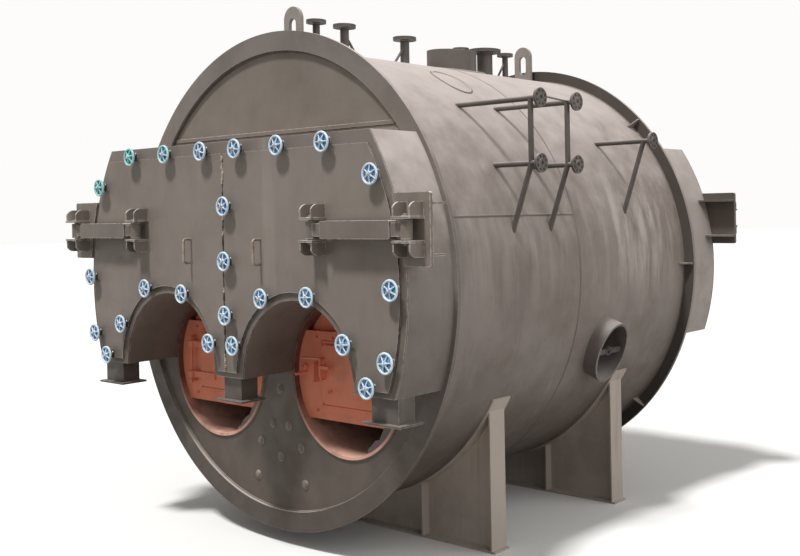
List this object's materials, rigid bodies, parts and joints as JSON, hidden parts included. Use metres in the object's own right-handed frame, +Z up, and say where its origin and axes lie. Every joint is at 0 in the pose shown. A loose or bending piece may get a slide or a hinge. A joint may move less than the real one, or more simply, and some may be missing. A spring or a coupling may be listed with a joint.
{
  "type": "industrial boiler",
  "caption": "Unclad horizontal fire-tube boiler on plate saddles, with arched smokebox doors on swing arms, furnace mouths, gauge pipes, manholes and nozzles.",
  "frame": {"origin": "on the floor, centre of the underside of the front saddle's base plate", "axes": "+Y from the furnace front to the rear along the boiler, +X to the gauge-pipe side, +Z up"},
  "size_m": [3.52, 3.548, 3.488],
  "materials": {
    "grey_primer": "matte",
    "red_primer": "matte",
    "wheel_blue": "gloss",
    "bare_steel": "satin",
    "lining": "matte"
  },
  "bodies": {
    "boiler": {"shell": "grey_primer", "front_ring": "grey_primer", "rear_ring": "grey_primer", "front_end_plate": "grey_primer", "rear_end_plate": "grey_primer", "furnace_right": "red_primer", "furnace_left": "red_primer", "fire_front_right": "red_primer", "fire_front_left": "red_primer", "front_smokebox": "grey_primer", "front_door_frame": "grey_primer", "hinge_bracket_right": "grey_primer", "hinge_bracket_left": "grey_primer", "front_smokebox_feet": "grey_primer", "rear_smokebox": "grey_primer", "rear_door_frame": "grey_primer", "rear_door_right": "grey_primer", "rear_door_left": "grey_primer", "rear_door_clamps": "wheel_blue", "rear_door_grips": "bare_steel", "rear_hinge_brackets": "grey_primer", "rear_hinge_arms": "grey_primer", "rear_door_yokes": "grey_primer", "front_saddle": "grey_primer", "rear_saddle": "grey_primer", "top_manhole_collar": "grey_primer", "top_manhole_cover": "grey_primer", "side_manhole_collar": "grey_primer", "side_manhole_cover": "grey_primer", "front_lifting_lug": "grey_primer", "rear_lifting_lug": "grey_primer", "small_nozzles": "grey_primer", "valve_nozzle": "grey_primer", "steam_nozzle": "grey_primer", "gauge_pipe_front": "grey_primer", "gauge_pipe_middle": "grey_primer", "gauge_pipe_rear": "grey_primer"},
    "arm_right": {"hinge_arm_right": "grey_primer"},
    "smokebox_door_right": {"front_door_right": "grey_primer", "front_door_lining_right": "lining", "front_door_clamps_right": "wheel_blue", "front_door_grip_right": "bare_steel", "door_yoke_right": "grey_primer"},
    "fire_door_right": {"fire_door_right": "red_primer"},
    "arm_left": {"hinge_arm_left": "grey_primer"},
    "smokebox_door_left": {"front_door_left": "grey_primer", "front_door_lining_left": "lining", "front_door_clamps_left": "wheel_blue", "front_door_grip_left": "bare_steel", "door_yoke_left": "grey_primer"},
    "fire_door_left": {"fire_door_left": "red_primer"}
  },
  "joints": [
    {"name": "arm_hinge_right", "type": "hinge", "parent": "boiler", "child": "arm_right", "pos_m": [1.647, -1.125, 2.033], "axis": [0, 0, 1], "range_deg": [0, 90]},
    {"name": "door_hinge_right", "type": "hinge", "parent": "arm_right", "child": "smokebox_door_right", "pos_m": [0.892, -1.125, 2.033], "axis": [0, 0, 1], "range_deg": [0, 9]},
    {"name": "fire_door_hinge_right", "type": "hinge", "parent": "boiler", "child": "fire_door_right", "pos_m": [0.965, -0.677, 1.123], "axis": [0, 0, 1], "range_deg": [0, 90]},
    {"name": "arm_hinge_left", "type": "hinge", "parent": "boiler", "child": "arm_left", "pos_m": [-1.647, -1.125, 2.033], "axis": [0, 0, -1], "range_deg": [0, 90]},
    {"name": "door_hinge_left", "type": "hinge", "parent": "arm_left", "child": "smokebox_door_left", "pos_m": [-0.892, -1.125, 2.033], "axis": [0, 0, -1], "range_deg": [0, 9]},
    {"name": "fire_door_hinge_left", "type": "hinge", "parent": "boiler", "child": "fire_door_left", "pos_m": [-0.965, -0.677, 1.123], "axis": [0, 0, -1], "range_deg": [0, 90]}
  ],
  "couplings": [
    {"joint": "door_hinge_right", "follows": "arm_hinge_right", "ratio": 0.1},
    {"joint": "door_hinge_left", "follows": "arm_hinge_left", "ratio": 0.1}
  ]
}
